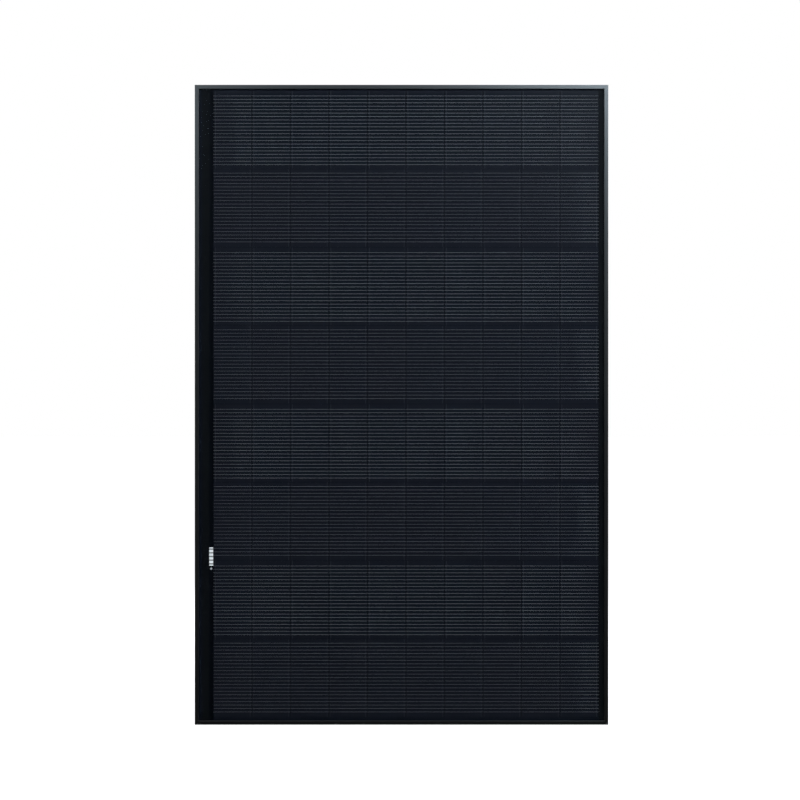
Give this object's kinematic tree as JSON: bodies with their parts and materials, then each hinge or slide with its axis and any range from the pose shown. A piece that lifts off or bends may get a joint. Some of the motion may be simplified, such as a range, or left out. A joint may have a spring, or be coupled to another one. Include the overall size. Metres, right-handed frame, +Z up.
{
  "type": "solar panel",
  "caption": "Upright framed solar panel with dark shingled half-cells, fine cross wires, a black mitred frame and split junction boxes on the back.",
  "frame": {"origin": "centre of the rear mounting plane, in the middle of the four round tracker holes", "axes": "+Z up along the long side, +X to the right seen from the front, +Y out of the back; the glass faces -Y"},
  "size_m": [1.118, 0.03, 1.73],
  "materials": {
    "black_anodised_aluminium": "satin black anodised extrusion",
    "mill_aluminium": "as extruded, cut and notched",
    "black_silicone": "cured silicone, soft sheen",
    "solar_glass": "toughened low-iron glass with an anti-reflective front",
    "clear_film": "clear laminating film",
    "black_backsheet": "fine-grained black polymer sheet",
    "cell_silicon": "blue-black textured silicon with fine printed fingers",
    "tinned_copper": "bright tin over copper",
    "black_cover_film": "black laminated film",
    "white_label": "white label with plain bars",
    "grey_print": "grey printed dot",
    "silver_label": "blank satin silver label",
    "black_moulding": "fine-textured black moulding",
    "diode_moulding": "black moulded diode body",
    "black_rivet": "black-coated steel rivet"
  },
  "bodies": {
    "root": {"frame_rail_left": "black_anodised_aluminium", "frame_rail_right": "black_anodised_aluminium", "frame_rail_top": "black_anodised_aluminium", "frame_rail_bottom": "black_anodised_aluminium", "corner_key_bottom_left": "mill_aluminium", "corner_key_top_left": "mill_aluminium", "corner_key_top_right": "mill_aluminium", "corner_key_bottom_right": "mill_aluminium", "edge_seal": "black_silicone", "front_glass": "solar_glass", "front_encapsulant": "clear_film", "rear_encapsulant": "clear_film", "backsheet": "black_backsheet", "cell_string_1": "cell_silicon", "cell_string_2": "cell_silicon", "cell_string_3": "cell_silicon", "cell_string_4": "cell_silicon", "cell_string_5": "cell_silicon", "cell_string_6": "cell_silicon", "cell_string_7": "cell_silicon", "cell_string_8": "cell_silicon", "wire_string_1": "tinned_copper", "wire_string_2": "tinned_copper", "wire_string_3": "tinned_copper", "wire_string_4": "tinned_copper", "wire_string_5": "tinned_copper", "wire_string_6": "tinned_copper", "wire_string_7": "tinned_copper", "wire_string_8": "tinned_copper", "bus_ribbons_left": "tinned_copper", "bus_ribbons_right": "tinned_copper", "bus_cover_strip_left": "black_cover_film", "lead_cover_strip": "black_cover_film", "bus_cover_strip_right": "black_cover_film", "serial_label": "white_label", "inspection_dot": "grey_print", "rating_label": "silver_label", "junction_box_1_base": "black_moulding", "junction_box_2_base": "black_moulding", "junction_box_3_base": "black_moulding", "junction_box_4_base": "black_moulding", "junction_box_1_lid": "black_moulding", "junction_box_2_lid": "black_moulding", "junction_box_3_lid": "black_moulding", "junction_box_4_lid": "black_moulding", "bypass_diode_1": "diode_moulding", "bypass_diode_2": "diode_moulding", "bypass_diode_3": "diode_moulding", "bypass_diode_4": "diode_moulding", "terminal_plates": "tinned_copper", "lid_gaskets": "black_silicone", "junction_box_glue": "black_silicone", "gland_nuts": "black_moulding", "gland_seals": "black_silicone", "support_bar_upper": "black_anodised_aluminium", "support_bar_lower": "black_anodised_aluminium", "support_bar_pads": "black_silicone", "support_bar_rivets": "black_rivet"}
  },
  "joints": []
}
